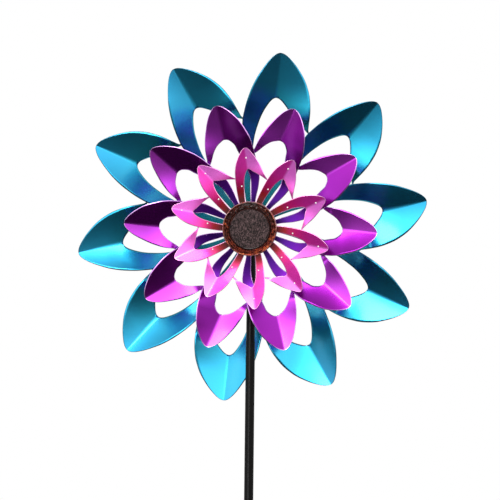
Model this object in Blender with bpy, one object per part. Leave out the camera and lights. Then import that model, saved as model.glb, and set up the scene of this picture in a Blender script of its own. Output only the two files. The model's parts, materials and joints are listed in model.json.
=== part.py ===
"""Three-tier wind spinner with a solar lamp hub, on a pole with a ground fork.

Metres, +Z up, and the spinner faces -Y. The origin is on the pole's axis at
ground level, on the flat underside of the fork's step bar. The axle runs along
Y. "Forward" below is a distance from the pole's axis towards -Y.
"""
import math

import bmesh
import bpy
import numpy as np
from mathutils import Vector

# ------------------------------------------------------------ overall sizes
GAP = 0.0003                # left between pieces that touch
AXLE_HEIGHT = 1.400         # axle above the ground
STEM_BELOW_AXLE = 0.196     # stem seen between the pole's top and the axle
PRONG_LENGTH = 0.200        # how deep the fork goes into the soil

# ------------------------------------------------------------ pole and stem
POLE_R = 0.0080
POLE_WALL = 0.0010
POLE_SECTIONS = ("pole_lower", "pole_middle", "pole_upper")
SPIGOT_WALL = 0.0010
SPIGOT_LENGTH = 0.030       # of each pole section, in the section above
STEM_SHOULDER = 0.0008      # stem's radius over its spigot's
STEM_SPIGOT_LENGTH = 0.060  # of the swivelling stem, in the pole
STEM_ABOVE_AXLE = 0.018
NECK_LENGTH = 0.008         # bore's taper below a spigot
CAP_WALL = 0.0012
CAP_SKIRT = 0.009
CAP_CROWN = 0.004

# ------------------------------------------------------------ ground fork
STEP_LENGTH = 0.122
STEP_WIDTH = 0.025
STEP_THICK = 0.005
PRONG_R = 0.0040
PRONG_POINT = 0.025         # length of the pointed end
STUB_LENGTH = 0.050

# ------------------------------------------------------------ axle and hubs
AXLE_R = 0.0040
AXLE_PLAY = 0.0003          # between the axle and what is threaded on it
AXLE_HEAD_R = 0.0070
AXLE_HEAD_THICK = 0.0050
SLEEVE_WALL = 0.0019
SLEEVE_PLAY = 0.0008        # between a sleeve and the hub turning round it
BEARING_R = 0.0110
BEARING_WIDTH = 0.0070
BEARING_RECESS = 0.0010     # the bearing's back below the boss's end
BOSS_WALL = 0.0027
BOSS_LENGTH = 0.0180        # from the flange's front to the boss's end
FLANGE_R = 0.0335
FLANGE_THICK = 0.0020
NUT_R = 0.0075              # across the corners, over 2
NUT_HEIGHT = 0.0090
NUT_THREAD_DEPTH = 0.0060
BACK_CLEAR = 0.0150         # between the pole and the back petals' tips
MIDDLE_CLEAR = 0.0045       # between the stem and the middle hub's boss
FRONT_CLEAR = 0.0140        # between the middle hub and the front hub's boss

# ------------------------------------------------------------ petals
PETALS = 10
SHEET = 0.0008              # sheet steel
FOOT_OUT = 0.022            # where a petal's foot starts on the flange
CUP_START = 0.30            # share of the radius where a petal leaves its plane
FOLD_START = 0.40           # shares of the radius between which the fold deepens
FOLD_FULL = 0.72
TWIST_START = 0.62          # shares of the radius between which the pitch grows
TWIST_FULL = 0.85
FOLD_CURL = 2.5             # how much steeper a half gets away from the crease
PITCH_SLOPE = 0.08          # arm side forward, lobe side back
ARM_START = 0.20            # shares of the radius between which an arm starts to pitch
ARM_FULL = 0.28
ARM_EASE = 0.36             # shares of the radius between which it comes level again
ARM_LEVEL = 0.48
TUCK_LENGTH = 0.10          # share of the radius over which a lobe's end drops

# "turn" is the first petal's angle from the top. Each edge of a petal is a
# smooth line through points (out, side), as shares of the tip radius: out along
# the petal's middle line, side to the right of it. The folds are the slopes at
# which the two halves rise forward from the crease.
# Every petal is an arm on its left that widens into one half of a leaf. Its
# right half, the lobe, comes back from the tip and ends behind the next arm.
TIERS = {
    "back": {
        "radius": 0.305,
        "turn": 8.8,
        "mirrored": False,
        "cup": 0.022,
        "arm_pitch": 0.0,
        "arm_fold": 0.22,
        "lobe_fold": 0.16,
        "arm_outer": [(0.072, -0.036), (0.153, -0.068), (0.276, -0.099), (0.500, -0.139),
                      (0.596, -0.156), (0.653, -0.153), (0.749, -0.139), (0.834, -0.115),
                      (0.891, -0.090), (0.953, -0.056), (0.985, -0.030), (1.000, 0.000)],
        "arm_inner": [(0.072, -0.012), (0.153, -0.038), (0.276, -0.059), (0.494, -0.074),
                      (0.596, -0.062), (0.641, -0.051), (0.698, -0.028), (0.743, 0.014)],
        "lobe_inner": [(0.556, 0.245), (0.573, 0.222), (0.658, 0.114), (0.687, 0.091),
                       (0.721, 0.057), (0.743, 0.014)],
        "lobe_outer": [(0.556, 0.262), (0.573, 0.238), (0.585, 0.222), (0.636, 0.221),
                       (0.681, 0.219), (0.766, 0.204), (0.851, 0.168), (0.928, 0.109),
                       (0.970, 0.063), (0.990, 0.034), (1.000, 0.000)],
    },
    "middle": {
        "radius": 0.2175,
        "turn": 19.5,
        "mirrored": True,
        "cup": 0.018,
        "arm_pitch": -0.08,
        "arm_fold": 0.20,
        "lobe_fold": 0.10,
        "arm_outer": [(0.100, -0.055), (0.213, -0.102), (0.315, -0.155), (0.394, -0.181),
                      (0.630, -0.194), (0.693, -0.189), (0.764, -0.173), (0.850, -0.144),
                      (0.898, -0.116), (0.949, -0.078), (0.980, -0.046), (1.000, 0.000)],
        "arm_inner": [(0.100, -0.018), (0.236, -0.066), (0.394, -0.104), (0.500, -0.088),
                      (0.630, -0.063), (0.657, -0.059), (0.693, -0.039), (0.716, -0.016),
                      (0.724, 0.016)],
        "lobe_inner": [(0.543, 0.197), (0.575, 0.165), (0.598, 0.150), (0.650, 0.118),
                       (0.693, 0.079), (0.716, 0.039), (0.724, 0.016)],
        "lobe_outer": [(0.543, 0.232), (0.575, 0.200), (0.598, 0.189), (0.677, 0.181),
                       (0.764, 0.160), (0.850, 0.126), (0.937, 0.080), (0.978, 0.044),
                       (1.000, 0.000)],
    },
    "front": {
        "radius": 0.1385,
        "turn": -3.9,
        "mirrored": False,
        "cup": 0.008,
        "arm_pitch": 0.0,
        "arm_fold": 0.12,
        "lobe_fold": 0.04,
        "arm_outer": [(0.156, -0.066), (0.344, -0.123), (0.492, -0.141), (0.615, -0.148),
                      (0.676, -0.148), (0.738, -0.143), (0.812, -0.127), (0.873, -0.104),
                      (0.935, -0.071), (0.980, -0.039), (1.000, 0.000)],
        "arm_inner": [(0.156, -0.009), (0.344, -0.039), (0.430, -0.043), (0.553, -0.041),
                      (0.627, -0.032), (0.696, -0.010), (0.732, 0.020)],
        "lobe_inner": [(0.556, 0.272), (0.600, 0.222), (0.672, 0.123), (0.706, 0.066),
                       (0.732, 0.020)],
        "lobe_outer": [(0.556, 0.296), (0.603, 0.243), (0.676, 0.209), (0.769, 0.174),
                       (0.861, 0.125), (0.940, 0.070), (0.980, 0.039), (1.000, 0.000)],
    },
}

# ------------------------------------------------------------ solar hub
HOUSING_R = 0.0445
HOUSING_WALL = 0.0020
LEDGE_WIDTH = 0.0030        # inner rib that the circuit board sits on
LEDGE_THICK = 0.0012
CELL_R = 0.00525
CELL_LENGTH = 0.0445
CELL_TIP_R = 0.0019
CELL_TIP = 0.0008
CELL_CLEAR = 0.00175        # between a cell and the axle's head
AXLE_WINDOW_CLEAR = 0.0030  # between the housing's back and the axle's head
BOARD_THICK = 0.0016
PANEL_THICK = 0.0022
LAYER_GAP = 0.0003
BEZEL_WALL = 0.0017
BEZEL_COVER = 0.0111        # how far the bezel reaches in over the panel
BEZEL_LIP = 0.0015
BEZEL_RISE = 0.0075         # front rim above the lip
BEZEL_RIM = 0.0012
BEZEL_SKIRT_CLEAR = 0.0026  # skirt's back edge, forward of the housing's back
RIM_CLEAR = 0.0015          # housing's rim, back from the bezel

# ------------------------------------------------------------ lamp wiring
LEAD_WIDTH = 0.0020
LEAD_THICK = 0.0010
LEAD_CLEAR = 0.0006         # between the lead and the back of a petal
LEAD_RING_CLEAR = 0.0010    # between the lead's ring and the hub's flange
BEAD_R = 0.0016
BEAD_PROUD = 0.0014         # how far a bead stands out of a petal's face
BEAD_CLEAR = 0.0005
FEED_R = 0.0010
FEED_ANGLE = 218.0          # where the lead enters the housing, from the top
FEED_CLEAR = 0.0006
LEAD_ROUTE = [(0.32, -0.078), (0.42, -0.080), (0.525, -0.074), (0.62, -0.074),
              (0.70, -0.058), (0.79, -0.026), (0.873, 0.000), (0.895, 0.004)]
BEADS = (LEAD_ROUTE[2], LEAD_ROUTE[6])

# ------------------------------------------------------------ power switch
SLIDE_INSET = 0.0013        # between the slide and the housing's wall
SWITCH_TRAVEL = 0.0040
KNOB_WIDTH = 0.0040         # along its travel
KNOB_DEPTH = 0.0030
KNOB_PROUD = 0.0030
KNOB_CLEAR = 0.0004
SLIDE_WIDTH = 0.0070
SLIDE_DEPTH = 0.0048
SLIDE_THICK = 0.0012

ROUND = 32                  # facets round a large turned piece
FINE = 24                   # facets round a small one

# ------------------------------------------------------------ derived sizes
POLE_TOP = AXLE_HEIGHT - STEM_BELOW_AXLE
POLE_BORE_R = POLE_R - POLE_WALL
SPIGOT_R = POLE_BORE_R - GAP
STEM_R = SPIGOT_R + STEM_SHOULDER
PRONG_SPACING = STEP_LENGTH + 2 * (PRONG_R + GAP)
SLEEVE_R = AXLE_R + AXLE_PLAY + SLEEVE_WALL
BOSS_R = BEARING_R + GAP + BOSS_WALL
BEZEL_R = HOUSING_R + GAP + BEZEL_WALL
BEZEL_WINDOW_R = HOUSING_R - BEZEL_COVER
CELL_OFFSET = AXLE_HEAD_R + CELL_CLEAR + CELL_R
AXLE_WINDOW_R = AXLE_HEAD_R + AXLE_WINDOW_CLEAR
LEAD_RING_R = FLANGE_R + LEAD_RING_CLEAR + LEAD_WIDTH / 2
SWITCH_OUT = HOUSING_R - HOUSING_WALL - SLIDE_INSET - SLIDE_DEPTH / 2

# ------------------------------------------------------------ derived places
TIERS["back"]["forward"] = -(POLE_R + BACK_CLEAR + TIERS["back"]["cup"])
TIERS["middle"]["forward"] = STEM_R + MIDDLE_CLEAR + BOSS_LENGTH
TIERS["front"]["forward"] = TIERS["middle"]["forward"] + FRONT_CLEAR + BOSS_LENGTH
PETAL_SEAT = GAP + SHEET / 2                       # sheet's middle over the flange
FRONT = TIERS["front"]["forward"]
HOUSING_BACK = FRONT + GAP + SHEET + GAP
HOUSING_FLOOR = HOUSING_BACK + HOUSING_WALL
CELL_FORWARD = HOUSING_FLOOR + LAYER_GAP + CELL_R
BOARD_BACK = CELL_FORWARD + CELL_R + LAYER_GAP
PANEL_BACK = BOARD_BACK + BOARD_THICK + LAYER_GAP
BEZEL_LIP_BACK = PANEL_BACK + PANEL_THICK + LAYER_GAP
BEZEL_FRONT = BEZEL_LIP_BACK + BEZEL_LIP + BEZEL_RISE
AXLE_HEAD_BACK = HOUSING_FLOOR + GAP
LEAD_MIDDLE = -(SHEET / 2 + LEAD_CLEAR + LEAD_THICK / 2)


# ------------------------------------------------------------ tools
def material(name, colour, roughness, metallic):
    made = bpy.data.materials.new(name)
    made.use_nodes = True
    shader = made.node_tree.nodes["Principled BSDF"]
    shader.inputs["Base Color"].default_value = (*colour, 1.0)
    shader.inputs["Roughness"].default_value = roughness
    shader.inputs["Metallic"].default_value = metallic
    return made


def finish(bm, name, finish_material, parent=None, sharp=30.0):
    """Turn a bmesh into a named object with outward faces and smooth rounds."""
    bmesh.ops.recalc_face_normals(bm, faces=bm.faces)
    mesh = bpy.data.meshes.new(name)
    bm.to_mesh(mesh)
    bm.free()
    mesh.shade_smooth()
    mesh.set_sharp_from_angle(angle=math.radians(sharp))
    mesh.materials.append(finish_material)
    return place(name, mesh, parent)


def place(name, mesh, parent=None):
    made = bpy.data.objects.new(name, mesh)
    bpy.context.scene.collection.objects.link(made)
    made.parent = parent
    return made


def axis_empty(name, location, parent=None):
    made = place(name, None, parent)
    made.location = location
    return made


def turned(profile, steps, axis, closed=True):
    """Spin a profile of (along, radius) points round an axis through the origin.

    A closed profile is a ring. An open one starts and ends on the axis.
    """
    along = Vector(axis)
    across = Vector((1.0, 0.0, 0.0))
    bm = bmesh.new()
    verts = [bm.verts.new(along * a + across * r) for a, r in profile]
    pairs = list(zip(verts, verts[1:]))
    if closed:
        pairs.append((verts[-1], verts[0]))
    edges = [bm.edges.new(pair) for pair in pairs]
    bmesh.ops.spin(bm, geom=verts + edges, cent=(0, 0, 0), axis=along,
                   angle=math.tau, steps=steps, use_merge=True)
    bmesh.ops.remove_doubles(bm, verts=bm.verts, dist=1e-6)
    bmesh.ops.dissolve_degenerate(bm, edges=bm.edges, dist=1e-6)
    return bm


def on_axle(profile, steps=FINE, closed=True):
    """A turned piece on the axle: its profile is (forward, radius)."""
    return turned(profile, steps, (0, -1, 0), closed)


def on_pole(profile, steps=FINE, closed=True):
    """A turned piece on the pole: its profile is (height, radius)."""
    return turned(profile, steps, (0, 0, 1), closed)


def tube(start, end, inner, outer):
    return [(start, inner), (start, outer), (end, outer), (end, inner)]


def block(low, high):
    bm = bmesh.new()
    bmesh.ops.create_cube(bm, size=1.0)
    low, high = Vector(low), Vector(high)
    bmesh.ops.scale(bm, vec=high - low, verts=bm.verts)
    bmesh.ops.translate(bm, vec=(low + high) / 2, verts=bm.verts)
    return bm


def rods(spans, radius, sides):
    """Separate straight rods, one for each (start, end), all along one way."""
    bm = bmesh.new()
    for start, end in spans:
        start, end = Vector(start), Vector(end)
        turn = (end - start).to_track_quat("Z", "Y").to_matrix().to_4x4()
        turn.translation = (start + end) / 2
        bmesh.ops.create_cone(bm, cap_ends=True, segments=sides, radius1=radius,
                              radius2=radius, depth=(end - start).length, matrix=turn)
    return bm


def guide(bm, name, parent=None):
    """A hidden shape that a Boolean uses."""
    made = finish(bm, name, bpy.data.materials["guide"], parent)
    made.hide_render = True
    made.display_type = "WIRE"
    return made


def combine(target, other, operation):
    step = target.modifiers.new(operation.lower(), "BOOLEAN")
    step.operation = operation
    step.solver = "EXACT"
    step.object = other


def smoothstep(value, start, end):
    share = min(1.0, max(0.0, (value - start) / (end - start)))
    return share * share * (3.0 - 2.0 * share)


def line_through(points, at):
    """Value at one place of a smooth line through points, without overshoot."""
    xs, ys = np.array(points).T
    rise = np.diff(ys) / np.diff(xs)
    slope = np.concatenate([rise[:1], (rise[1:] + rise[:-1]) / 2, rise[-1:]])
    for i in range(1, len(xs) - 1):
        if rise[i - 1] * rise[i] <= 0.0:
            slope[i] = 0.0
        else:
            slope[i] = 2.0 * rise[i - 1] * rise[i] / (rise[i - 1] + rise[i])
    at = min(max(at, xs[0]), xs[-1])
    i = min(int(np.searchsorted(xs, at, side="right")) - 1, len(xs) - 2)
    width = xs[i + 1] - xs[i]
    t = (at - xs[i]) / width
    return float(ys[i] * (1 + 2 * t) * (1 - t) ** 2 + slope[i] * width * t * (1 - t) ** 2
                 + ys[i + 1] * t * t * (3 - 2 * t) + slope[i + 1] * width * t * t * (t - 1))


# ------------------------------------------------------------ petals
def crease_side(tier, out):
    """The crease: a straight line from the hole's inner corner to the tip."""
    corner_out, corner_side = tier["arm_inner"][-1]
    return corner_side * (1.0 - out) / (1.0 - corner_out)


def fold_rise(tier, out, from_crease):
    """How far forward of the crease a point lies, as a share of the radius."""
    slope = tier["lobe_fold"] if from_crease > 0.0 else tier["arm_fold"]
    reach = abs(from_crease)
    return slope * (reach + FOLD_CURL * reach**2) * smoothstep(out, FOLD_START, FOLD_FULL)


def petal_forward(tier, out, side):
    """How far forward of its foot a petal's sheet lies, at shares of the radius."""
    cup = max(0.0, (math.hypot(out, side) - CUP_START) / (1.0 - CUP_START)) ** 2
    from_crease = side - crease_side(tier, out)
    pitch = PITCH_SLOPE * side * smoothstep(out, TWIST_START, TWIST_FULL)
    rise = fold_rise(tier, out, from_crease) - pitch
    forward = tier["cup"] * cup + tier["radius"] * rise
    if out < ARM_LEVEL:
        middle = (line_through(tier["arm_outer"], out) + line_through(tier["arm_inner"], out)) / 2
        share = smoothstep(out, ARM_START, ARM_FULL) * (1.0 - smoothstep(out, ARM_EASE, ARM_LEVEL))
        forward += tier["radius"] * tier["arm_pitch"] * (side - middle) * share
    if from_crease > 0.0:
        lobe_end = tier["lobe_outer"][0][0]
        forward -= tuck_depth(tier) * (1.0 - smoothstep(out, lobe_end, lobe_end + TUCK_LENGTH))
    return forward


def tuck_depth(tier):
    """How far a lobe's end drops to lie behind the next petal's arm."""
    out, side = tier["lobe_outer"][0]
    rise = fold_rise(tier, out, side - crease_side(tier, out))
    return SHEET + 3 * GAP + tier["radius"] * rise


def petal_point(tier, out, side):
    """A point of a petal's sheet, from the axle, for a petal that points up."""
    radius = tier["radius"]
    across = -side if tier["mirrored"] else side
    return Vector((radius * across,
                   -(tier["forward"] + PETAL_SEAT + petal_forward(tier, out, side)),
                   radius * out))


def petal_rows(tier):
    """The places along a petal where its sheet has a row of points."""
    foot = FOOT_OUT / tier["radius"]
    lobe_end = tier["lobe_outer"][0][0]
    corner = tier["arm_inner"][-1][0]
    arm = np.linspace(foot, lobe_end, 5)
    lobe = np.linspace(lobe_end, corner, 5)
    blade = corner + (1.0 - corner) * np.sin(np.linspace(0.0, math.pi / 2, 7))
    return [float(out) for out in (*arm[:-1], *lobe[:-1], *blade)]


def petal_sheet(tier):
    """A petal's middle surface: an arm and a lobe that join along the crease."""
    bm = bmesh.new()
    rows = petal_rows(tier)
    lobe_end = tier["lobe_outer"][0][0]
    corner = tier["arm_inner"][-1][0]
    tip = bm.verts.new(petal_point(tier, 1.0, 0.0))
    arm, lobe = [], []
    for out in rows[:-1]:
        arm_outer = bm.verts.new(petal_point(tier, out, line_through(tier["arm_outer"], out)))
        if out < corner - 1e-9:
            inner = bm.verts.new(petal_point(tier, out, line_through(tier["arm_inner"], out)))
        else:
            inner = bm.verts.new(petal_point(tier, out, crease_side(tier, out)))
        arm.append((arm_outer, inner))
        if out < lobe_end - 1e-9:
            continue
        lobe_outer = bm.verts.new(petal_point(tier, out, line_through(tier["lobe_outer"], out)))
        if out < corner - 1e-9:
            side = line_through(tier["lobe_inner"], out)
            inner = bm.verts.new(petal_point(tier, out, side + 1e-9))
        lobe.append((inner, lobe_outer))
    for strip in (arm, lobe):
        for (a, b), (c, d) in zip(strip, strip[1:]):
            bm.faces.new((a, b, d, c))
        bm.faces.new((*strip[-1], tip))
    return bm


def add_petals(label, finish_material, axis, holes=None):
    tier = TIERS[label]
    mesh = None
    for index in range(PETALS):
        name = f"{label}_petal_{index + 1:02d}"
        if mesh is None:
            petal = finish(petal_sheet(tier), name, finish_material, axis, sharp=15.0)
            mesh = petal.data
        else:
            petal = place(name, mesh, axis)
        petal.rotation_euler.y = math.radians(tier["turn"] + index * 360.0 / PETALS)
        sheet = petal.modifiers.new("sheet", "SOLIDIFY")
        sheet.thickness = SHEET
        sheet.offset = 0.0
        if holes is not None:
            combine(petal, holes, "DIFFERENCE")


# ------------------------------------------------------------ stand
def add_fork(painted):
    half = STEP_LENGTH / 2
    finish(block((-half, -STEP_WIDTH / 2, 0.0), (half, STEP_WIDTH / 2, STEP_THICK)),
           "step_bar", painted)
    for name, side in (("prong_left", -1), ("prong_right", 1)):
        profile = [(-PRONG_LENGTH, 0.0), (-PRONG_LENGTH + PRONG_POINT, PRONG_R),
                   (STEP_THICK, PRONG_R), (STEP_THICK, 0.0)]
        prong = finish(on_pole(profile, 16, closed=False), name, painted)
        prong.location.x = side * PRONG_SPACING / 2
    stub = STEP_THICK + GAP
    finish(on_pole(tube(stub, stub + STUB_LENGTH, SPIGOT_R - SPIGOT_WALL, SPIGOT_R)),
           "fork_stub", painted)


def pole_profile(bottom, top, spigot_length):
    """A pole section, with a narrowed spigot on top unless its length is 0."""
    if spigot_length == 0.0:
        return tube(bottom, top, POLE_BORE_R, POLE_R)
    narrow = SPIGOT_R - SPIGOT_WALL
    return [(bottom, POLE_BORE_R), (bottom, POLE_R), (top, POLE_R), (top, SPIGOT_R),
            (top + spigot_length, SPIGOT_R), (top + spigot_length, narrow),
            (top, narrow), (top - NECK_LENGTH, POLE_BORE_R)]


def add_pole(painted):
    foot = STEP_THICK + GAP
    length = (POLE_TOP - foot) / len(POLE_SECTIONS)
    for index, name in enumerate(POLE_SECTIONS):
        last = index == len(POLE_SECTIONS) - 1
        bottom = foot + index * length + (GAP if index else 0.0)
        profile = pole_profile(bottom, foot + (index + 1) * length,
                               0.0 if last else SPIGOT_LENGTH)
        finish(on_pole(profile), name, painted)


# ------------------------------------------------------------ swivelling head
def add_head(painted, plastic, axis):
    """The stem that turns in the pole's top, and its cap."""
    narrow = SPIGOT_R - SPIGOT_WALL
    top = AXLE_HEIGHT + STEM_ABOVE_AXLE
    profile = [(POLE_TOP - STEM_SPIGOT_LENGTH, narrow), (POLE_TOP - STEM_SPIGOT_LENGTH, SPIGOT_R),
               (POLE_TOP + GAP, SPIGOT_R), (POLE_TOP + GAP, STEM_R), (top, STEM_R), (top, narrow)]
    stem = finish(on_pole(profile), "head_stem", painted, axis)
    hole = rods([((0, -2 * STEM_R, AXLE_HEIGHT), (0, 2 * STEM_R, AXLE_HEIGHT))],
                AXLE_R + AXLE_PLAY, FINE)
    combine(stem, guide(hole, "axle_hole_cutter", axis), "DIFFERENCE")

    inner = STEM_R + GAP
    outer = inner + CAP_WALL
    cap = [(top + GAP + CAP_CROWN, 0.0), (top + GAP + CAP_CROWN, outer * 0.6),
           (top + GAP + CAP_CROWN / 2, outer), (top - CAP_SKIRT, outer),
           (top - CAP_SKIRT, inner), (top + GAP, inner), (top + GAP, 0.0)]
    finish(on_pole(cap, closed=False), "stem_cap", plastic, axis)


def hub_back(tier):
    return tier["forward"] - BOSS_LENGTH


def bearing_span(tier):
    start = hub_back(tier) + BEARING_RECESS
    return start, start + BEARING_WIDTH


def add_axle(steel, axis):
    """A headed bolt through the solar hub, the stem and all three hubs, and its sleeves."""
    back = bearing_span(TIERS["back"])[0] - GAP
    thread_end = back - NUT_THREAD_DEPTH
    bore = AXLE_R + 3 * AXLE_PLAY
    nut = [(thread_end, 0.0), (thread_end, bore), (back, bore), (back, NUT_R),
           (back - NUT_HEIGHT * 0.7, NUT_R), (back - NUT_HEIGHT, NUT_R * 0.6),
           (back - NUT_HEIGHT, 0.0)]
    finish(on_axle(nut, 6, closed=False), "rear_nut", steel, axis)
    bolt = [(thread_end + GAP, 0.0), (thread_end + GAP, AXLE_R), (AXLE_HEAD_BACK, AXLE_R),
            (AXLE_HEAD_BACK, AXLE_HEAD_R), (AXLE_HEAD_BACK + AXLE_HEAD_THICK, AXLE_HEAD_R),
            (AXLE_HEAD_BACK + AXLE_HEAD_THICK, 0.0)]
    finish(on_axle(bolt, closed=False), "axle_bolt", steel, axis)

    back_end = bearing_span(TIERS["back"])[1]
    middle_start, middle_end = bearing_span(TIERS["middle"])
    front_start, front_end = bearing_span(TIERS["front"])
    spans = {
        "sleeve_back": (back_end, -STEM_R),
        "sleeve_middle": (STEM_R, middle_start),
        "sleeve_front": (middle_end, front_start),
        "sleeve_nose": (front_end, AXLE_HEAD_BACK),
    }
    for name, (start, end) in spans.items():
        profile = tube(start + GAP, end - GAP, AXLE_R + AXLE_PLAY, SLEEVE_R)
        finish(on_axle(profile), name, steel, axis)


# ------------------------------------------------------------ rotors
def add_hub(label, painted, steel, axis):
    """A flanged hub with a ball bearing in the back of its boss."""
    tier = TIERS[label]
    face = tier["forward"]
    bearing_start, bearing_end = bearing_span(tier)
    bore = SLEEVE_R + SLEEVE_PLAY
    pocket = BEARING_R + GAP
    hub = [(face, bore), (face, FLANGE_R), (face - FLANGE_THICK, FLANGE_R),
           (face - FLANGE_THICK, BOSS_R), (hub_back(tier), BOSS_R), (hub_back(tier), pocket),
           (bearing_end + GAP, pocket), (bearing_end + GAP, bore)]
    finish(on_axle(hub, ROUND), f"{label}_hub", painted, axis)
    bearing = tube(bearing_start, bearing_end, AXLE_R + AXLE_PLAY, BEARING_R)
    finish(on_axle(bearing), f"{label}_bearing", steel, axis)


# ------------------------------------------------------------ solar hub
def add_housing(plastic, axis):
    """A shallow cup over the front petals' feet, with a ledge for the board."""
    inner = HOUSING_R - HOUSING_WALL
    ledge = inner - LEDGE_WIDTH
    ledge_front = BOARD_BACK - GAP
    rim = BEZEL_LIP_BACK + RIM_CLEAR
    cup = [(HOUSING_BACK, AXLE_WINDOW_R), (HOUSING_BACK, HOUSING_R), (rim, HOUSING_R),
           (rim, inner), (ledge_front, inner), (ledge_front, ledge),
           (ledge_front - LEDGE_THICK, ledge), (ledge_front - LEDGE_THICK, inner),
           (HOUSING_FLOOR, inner), (HOUSING_FLOOR, AXLE_WINDOW_R)]
    housing = finish(on_axle(cup, ROUND), "solar_housing", plastic, axis)

    half_slot = (KNOB_WIDTH + SWITCH_TRAVEL) / 2 + KNOB_CLEAR
    half_depth = KNOB_DEPTH / 2 + KNOB_CLEAR
    slot = block((-half_slot, -HOUSING_FLOOR - HOUSING_WALL, -SWITCH_OUT - half_depth),
                 (half_slot, -HOUSING_BACK + HOUSING_WALL, -SWITCH_OUT + half_depth))
    combine(housing, guide(slot, "switch_slot_cutter", axis), "DIFFERENCE")
    out = feed_place()
    hole = rods([(out + Vector((0, -HOUSING_FLOOR - HOUSING_WALL, 0)),
                  out + Vector((0, -HOUSING_BACK + HOUSING_WALL, 0)))], FEED_R + FEED_CLEAR, 12)
    combine(housing, guide(hole, "feed_hole_cutter", axis), "DIFFERENCE")


def add_solar_stack(materials, axis):
    """Cells, board, panel and bezel, clamped in that order in the housing."""
    inner = HOUSING_R - HOUSING_WALL - GAP
    for name, side in (("battery_cell_upper", 1), ("battery_cell_lower", -1)):
        half = CELL_LENGTH / 2
        cell = [(-half, 0.0), (-half, CELL_R), (half - CELL_TIP, CELL_R),
                (half - CELL_TIP, CELL_TIP_R), (half, CELL_TIP_R), (half, 0.0)]
        made = finish(on_pole(cell, 16, closed=False), name, materials["cell"], axis)
        made.rotation_euler.y = math.radians(90.0 * side)
        made.location = (0.0, -CELL_FORWARD, side * CELL_OFFSET)

    board = [(BOARD_BACK, 0.0), (BOARD_BACK, inner), (BOARD_BACK + BOARD_THICK, inner),
             (BOARD_BACK + BOARD_THICK, 0.0)]
    finish(on_axle(board, ROUND, closed=False), "circuit_board", materials["board"], axis)
    panel = [(PANEL_BACK, 0.0), (PANEL_BACK, inner), (PANEL_BACK + PANEL_THICK, inner),
             (PANEL_BACK + PANEL_THICK, 0.0)]
    finish(on_axle(panel, ROUND, closed=False), "solar_panel", materials["panel"], axis)

    skirt_back = HOUSING_BACK + BEZEL_SKIRT_CLEAR
    skirt_inner = HOUSING_R + GAP
    lip = BEZEL_LIP_BACK
    bezel = [(skirt_back, skirt_inner), (skirt_back, BEZEL_R), (BEZEL_FRONT - BEZEL_RIM, BEZEL_R),
             (BEZEL_FRONT, BEZEL_R - BEZEL_RIM), (BEZEL_FRONT - BEZEL_RIM, BEZEL_R - 2 * BEZEL_RIM),
             (lip + BEZEL_LIP, BEZEL_WINDOW_R), (lip, BEZEL_WINDOW_R),
             (lip, inner - LEDGE_WIDTH), (BEZEL_FRONT - 3 * BEZEL_RIM, skirt_inner)]
    finish(on_axle(bezel, ROUND), "bezel_ring", materials["bronze"], axis)


def add_switch(plastic, axis):
    """A slide switch: a retained slide inside the housing, its knob outside."""
    slide_back = HOUSING_FLOOR + GAP
    half = SLIDE_DEPTH / 2
    start = -SWITCH_TRAVEL / 2
    slide = block((start - SLIDE_WIDTH / 2, -slide_back - SLIDE_THICK, -SWITCH_OUT - half),
                  (start + SLIDE_WIDTH / 2, -slide_back, -SWITCH_OUT + half))
    made = finish(slide, "power_switch", plastic, axis)
    knob = block((start - KNOB_WIDTH / 2, -slide_back - SLIDE_THICK / 2,
                  -SWITCH_OUT - KNOB_DEPTH / 2),
                 (start + KNOB_WIDTH / 2, -HOUSING_BACK + KNOB_PROUD,
                  -SWITCH_OUT + KNOB_DEPTH / 2))
    combine(made, guide(knob, "switch_knob_shape", axis), "UNION")


# ------------------------------------------------------------ lamp wiring
def feed_place():
    turn = math.radians(FEED_ANGLE)
    return Vector((LEAD_RING_R * math.sin(turn), 0.0, LEAD_RING_R * math.cos(turn)))


def turned_place(point, index):
    """A point of the front tier's upright petal, carried to one of its petals."""
    turn = math.radians(TIERS["front"]["turn"] + index * 360.0 / PETALS)
    return Vector((point.x * math.cos(turn) + point.z * math.sin(turn), point.y,
                   -point.x * math.sin(turn) + point.z * math.cos(turn)))


def lead_sheet():
    """The lead's middle surface: a ring behind the hub and a strip behind each petal."""
    tier = TIERS["front"]
    radius = tier["radius"]
    forward = tier["forward"] + PETAL_SEAT + LEAD_MIDDLE
    bm = bmesh.new()
    root_out, root_side = LEAD_ROUTE[0]
    root_turn = math.atan2(root_side, root_out)
    half_turn = LEAD_WIDTH / 2 / (LEAD_RING_R + LEAD_WIDTH / 2)
    pitch = math.tau / PETALS
    turns = [root_turn - half_turn, root_turn + half_turn, root_turn + pitch / 2]
    inner, outer = [], []
    for index in range(PETALS):
        for turn in turns:
            for ring, edge in ((inner, -1), (outer, 1)):
                out = LEAD_RING_R + edge * LEAD_WIDTH / 2
                point = Vector((out * math.sin(turn), -forward, out * math.cos(turn)))
                ring.append(bm.verts.new(turned_place(point, index)))
    count = len(inner)
    for i in range(count):
        j = (i + 1) % count
        bm.faces.new((inner[i], outer[i], outer[j], inner[j]))
    for index in range(PETALS):
        previous = (outer[len(turns) * index], outer[len(turns) * index + 1])
        for out, side in LEAD_ROUTE:
            pair = []
            for edge in (-1, 1):
                point = petal_point(tier, out, side + edge * LEAD_WIDTH / 2 / radius)
                point.y -= LEAD_MIDDLE
                pair.append(bm.verts.new(turned_place(point, index)))
            bm.faces.new((previous[0], previous[1], pair[1], pair[0]))
            previous = pair
    return bm


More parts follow.
